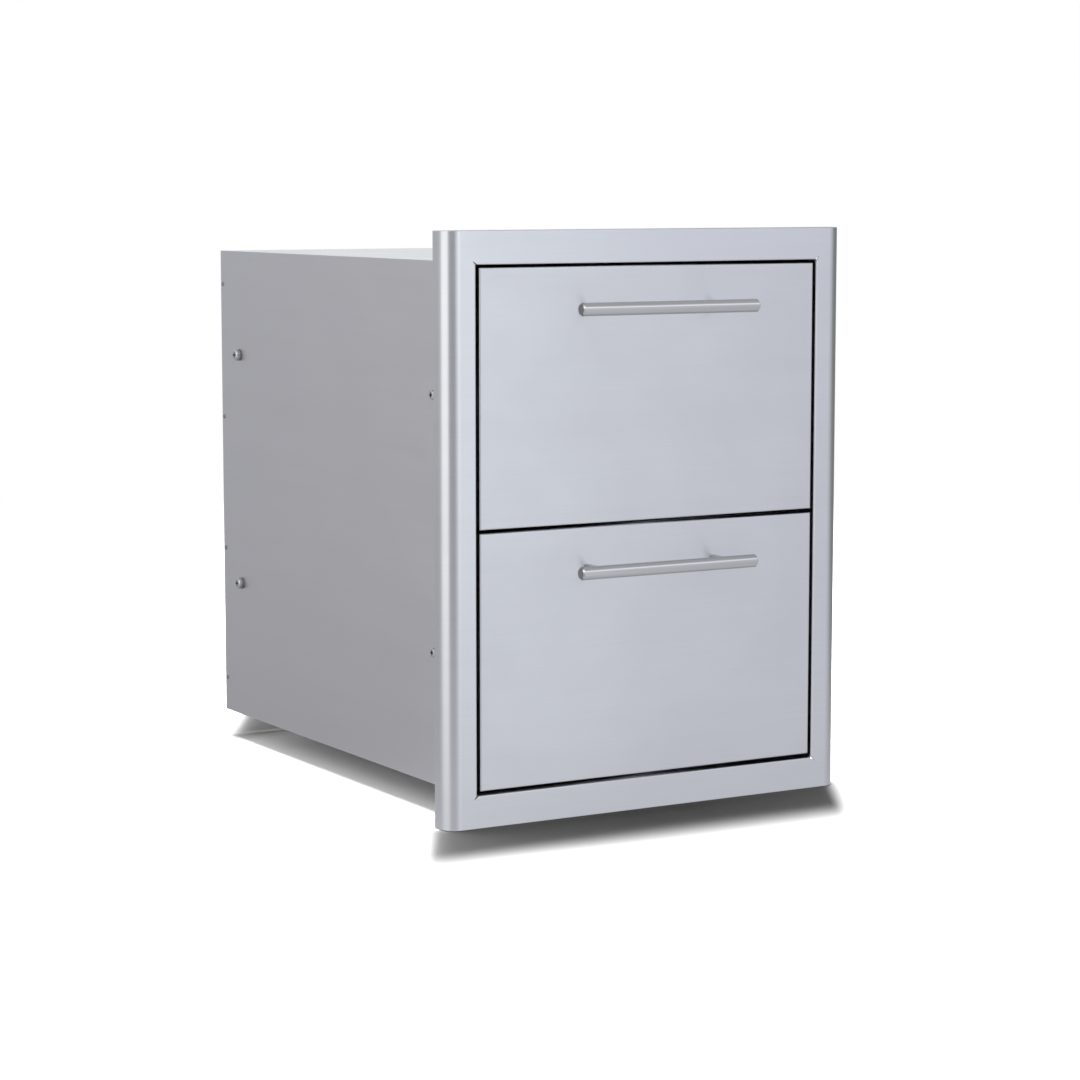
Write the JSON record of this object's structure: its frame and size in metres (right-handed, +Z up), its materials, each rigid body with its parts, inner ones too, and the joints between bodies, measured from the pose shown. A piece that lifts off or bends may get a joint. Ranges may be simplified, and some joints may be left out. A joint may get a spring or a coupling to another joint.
{
  "type": "outdoor kitchen drawer unit",
  "caption": "Built-in stainless drawer unit for an outdoor kitchen: inset drawers with bar handles in a round-edged trim frame, on full-extension slides in a sheet-metal casing.",
  "frame": {"origin": "on the ground plane under the middle of the unit's outer box, level with the bottom edge of the trim frame", "axes": "+X to the right as seen from the front, +Y backwards into the casing, +Z up; the drawers open towards -Y"},
  "size_m": [0.425, 0.575, 0.533],
  "materials": {
    "brushed_front_steel": "fine brushed",
    "handle_steel": "satin",
    "casing_steel": "mill",
    "tray_steel": "fine brushed",
    "zinc_plated_steel": "bright zinc",
    "cage_steel": "plain",
    "bearing_steel": "polished",
    "fastener_steel": "plain",
    "black_rubber": "matte"
  },
  "bodies": {
    "housing": {"front_frame": "brushed_front_steel", "casing_left": "casing_steel", "casing_right": "casing_steel", "casing_top": "casing_steel", "casing_bottom": "casing_steel", "casing_back": "casing_steel", "casing_rivets": "fastener_steel", "slide_front_screws": "fastener_steel", "slide_rear_screws": "fastener_steel", "slide_buffers": "black_rubber", "lower_left_slide_outer": "zinc_plated_steel", "lower_right_slide_outer": "zinc_plated_steel", "upper_left_slide_outer": "zinc_plated_steel", "upper_right_slide_outer": "zinc_plated_steel"},
    "lower_drawer": {"lower_drawer_front": "brushed_front_steel", "lower_drawer_liner": "tray_steel", "lower_drawer_tray": "tray_steel", "lower_drawer_back": "tray_steel", "lower_back_rivets": "fastener_steel", "lower_front_screws": "fastener_steel", "lower_slide_screws": "fastener_steel", "lower_handle_bar": "handle_steel", "lower_handle_posts": "handle_steel", "lower_handle_screws": "fastener_steel", "lower_left_slide_inner": "zinc_plated_steel", "lower_right_slide_inner": "zinc_plated_steel"},
    "lower_slide_middles": {"lower_left_slide_middle": "zinc_plated_steel", "lower_right_slide_middle": "zinc_plated_steel"},
    "lower_outer_cages": {"lower_left_outer_cage": "cage_steel", "lower_left_outer_balls": "bearing_steel", "lower_right_outer_cage": "cage_steel", "lower_right_outer_balls": "bearing_steel"},
    "lower_inner_cages": {"lower_left_inner_cage": "cage_steel", "lower_left_inner_balls": "bearing_steel", "lower_right_inner_cage": "cage_steel", "lower_right_inner_balls": "bearing_steel"},
    "upper_drawer": {"upper_drawer_front": "brushed_front_steel", "upper_drawer_liner": "tray_steel", "upper_drawer_tray": "tray_steel", "upper_drawer_back": "tray_steel", "upper_back_rivets": "fastener_steel", "upper_front_screws": "fastener_steel", "upper_slide_screws": "fastener_steel", "upper_handle_bar": "handle_steel", "upper_handle_posts": "handle_steel", "upper_handle_screws": "fastener_steel", "upper_left_slide_inner": "zinc_plated_steel", "upper_right_slide_inner": "zinc_plated_steel"},
    "upper_slide_middles": {"upper_left_slide_middle": "zinc_plated_steel", "upper_right_slide_middle": "zinc_plated_steel"},
    "upper_outer_cages": {"upper_left_outer_cage": "cage_steel", "upper_left_outer_balls": "bearing_steel", "upper_right_outer_cage": "cage_steel", "upper_right_outer_balls": "bearing_steel"},
    "upper_inner_cages": {"upper_left_inner_cage": "cage_steel", "upper_left_inner_balls": "bearing_steel", "upper_right_inner_cage": "cage_steel", "upper_right_inner_balls": "bearing_steel"}
  },
  "joints": [
    {"name": "lower_drawer_slide", "type": "slide", "parent": "housing", "child": "lower_drawer", "axis": [0, -1, 0], "range_m": [0, 0.485]},
    {"name": "upper_drawer_slide", "type": "slide", "parent": "housing", "child": "upper_drawer", "axis": [0, -1, 0], "range_m": [0, 0.485]},
    {"name": "lower_middles_slide", "type": "slide", "parent": "housing", "child": "lower_slide_middles", "axis": [0, -1, 0], "range_m": [0, 0.2425]},
    {"name": "lower_outer_cages_slide", "type": "slide", "parent": "housing", "child": "lower_outer_cages", "axis": [0, -1, 0], "range_m": [0, 0.12125]},
    {"name": "lower_inner_cages_slide", "type": "slide", "parent": "housing", "child": "lower_inner_cages", "axis": [0, -1, 0], "range_m": [0, 0.36375]},
    {"name": "upper_middles_slide", "type": "slide", "parent": "housing", "child": "upper_slide_middles", "axis": [0, -1, 0], "range_m": [0, 0.2425]},
    {"name": "upper_outer_cages_slide", "type": "slide", "parent": "housing", "child": "upper_outer_cages", "axis": [0, -1, 0], "range_m": [0, 0.12125]},
    {"name": "upper_inner_cages_slide", "type": "slide", "parent": "housing", "child": "upper_inner_cages", "axis": [0, -1, 0], "range_m": [0, 0.36375]}
  ],
  "couplings": [
    {"joint": "lower_middles_slide", "follows": "lower_drawer_slide", "ratio": 0.5},
    {"joint": "lower_outer_cages_slide", "follows": "lower_drawer_slide", "ratio": 0.25},
    {"joint": "lower_inner_cages_slide", "follows": "lower_drawer_slide", "ratio": 0.75},
    {"joint": "upper_middles_slide", "follows": "upper_drawer_slide", "ratio": 0.5},
    {"joint": "upper_outer_cages_slide", "follows": "upper_drawer_slide", "ratio": 0.25},
    {"joint": "upper_inner_cages_slide", "follows": "upper_drawer_slide", "ratio": 0.75}
  ]
}
